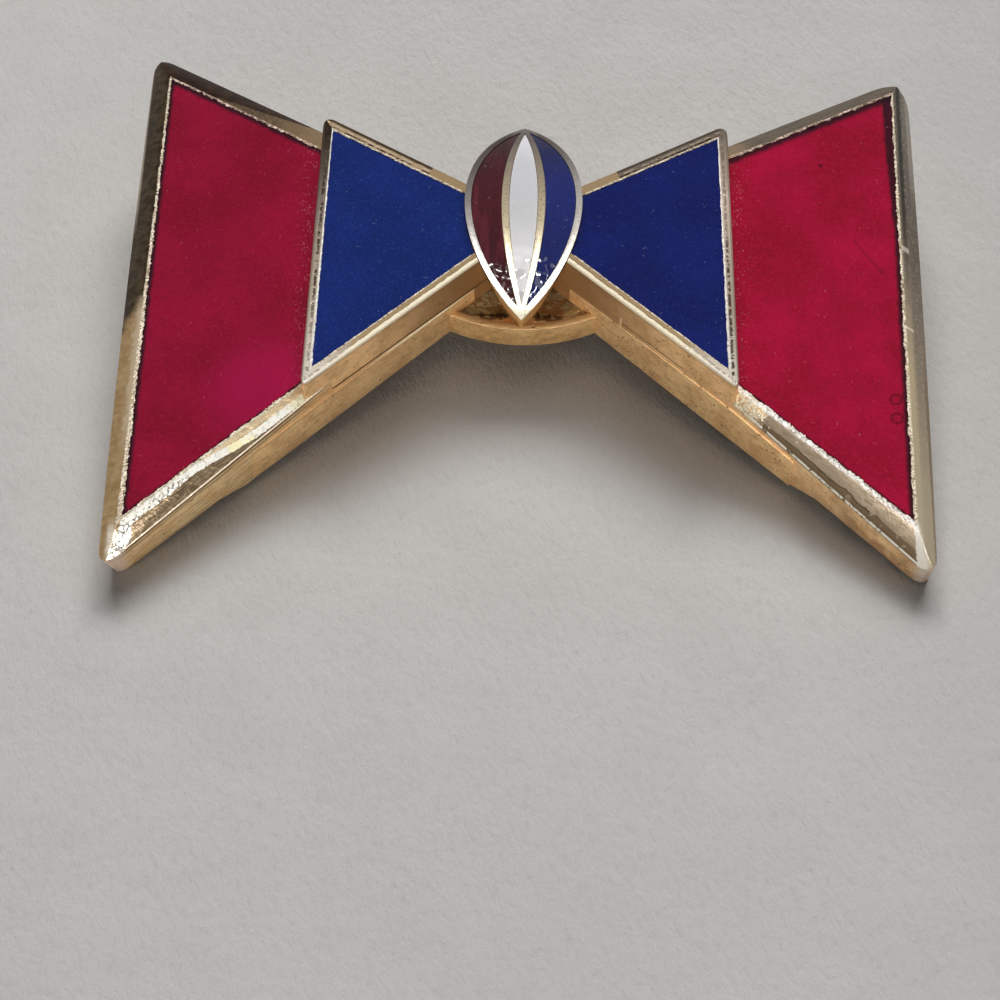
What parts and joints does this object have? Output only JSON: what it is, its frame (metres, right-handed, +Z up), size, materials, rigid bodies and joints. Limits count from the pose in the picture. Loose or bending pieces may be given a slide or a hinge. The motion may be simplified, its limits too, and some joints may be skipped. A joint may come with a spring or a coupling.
{
  "type": "brooch",
  "caption": "Gold-tone bow brooch with crimson and navy enamel wings and a striped oval knot, lying on its lower points and its pin.",
  "frame": {"origin": "centre of the box on the plane it rests on", "axes": "+X towards the bow's right wing as seen, +Y towards the upper edge, +Z up from the surface"},
  "size_m": [0.0508, 0.0372, 0.0101],
  "materials": {
    "gold_tone_metal": "satin",
    "red_enamel": "gloss",
    "navy_enamel": "gloss",
    "worn_silver_metal": "satin",
    "maroon_enamel": "gloss",
    "white_enamel": "gloss",
    "pin_steel": "satin"
  },
  "bodies": {
    "root": {"bow_casting": "gold_tone_metal", "red_enamel_left": "red_enamel", "red_enamel_right": "red_enamel", "blue_enamel_left": "navy_enamel", "blue_enamel_right": "navy_enamel", "knot_setting": "worn_silver_metal", "knot_enamel_maroon": "maroon_enamel", "knot_enamel_white": "white_enamel", "knot_enamel_blue": "navy_enamel", "pin_back": "pin_steel"}
  },
  "joints": []
}
